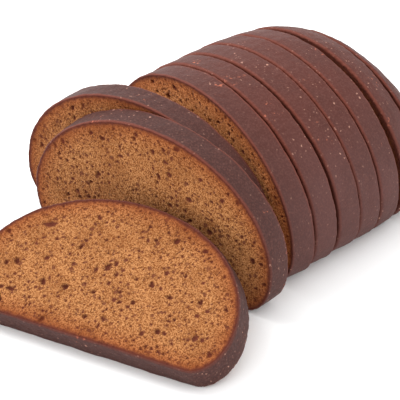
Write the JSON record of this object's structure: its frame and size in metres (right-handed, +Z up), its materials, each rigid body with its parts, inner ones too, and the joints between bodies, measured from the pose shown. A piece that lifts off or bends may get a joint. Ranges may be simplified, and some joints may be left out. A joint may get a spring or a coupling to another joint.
{
  "type": "sliced rye loaf",
  "caption": "End of a dark rye loaf cut into slices: a row standing on its bases with a rounded heel, and leading slices that lean back, one lying low.",
  "frame": {"origin": "middle of the space that the slices take up, on the surface they stand on", "axes": "+X across the loaf, +Y along it towards the heel, +Z up"},
  "size_m": [0.1626, 0.216, 0.0684],
  "materials": {
    "crumb": "matte",
    "crust": "matte"
  },
  "bodies": {
    "root": {"slice_01": "crumb", "slice_02": "crumb", "slice_03": "crumb", "slice_04": "crumb", "slice_05": "crumb", "slice_06": "crumb", "slice_07": "crumb", "slice_08": "crumb", "slice_09": "crumb", "heel": "crust"}
  },
  "joints": []
}
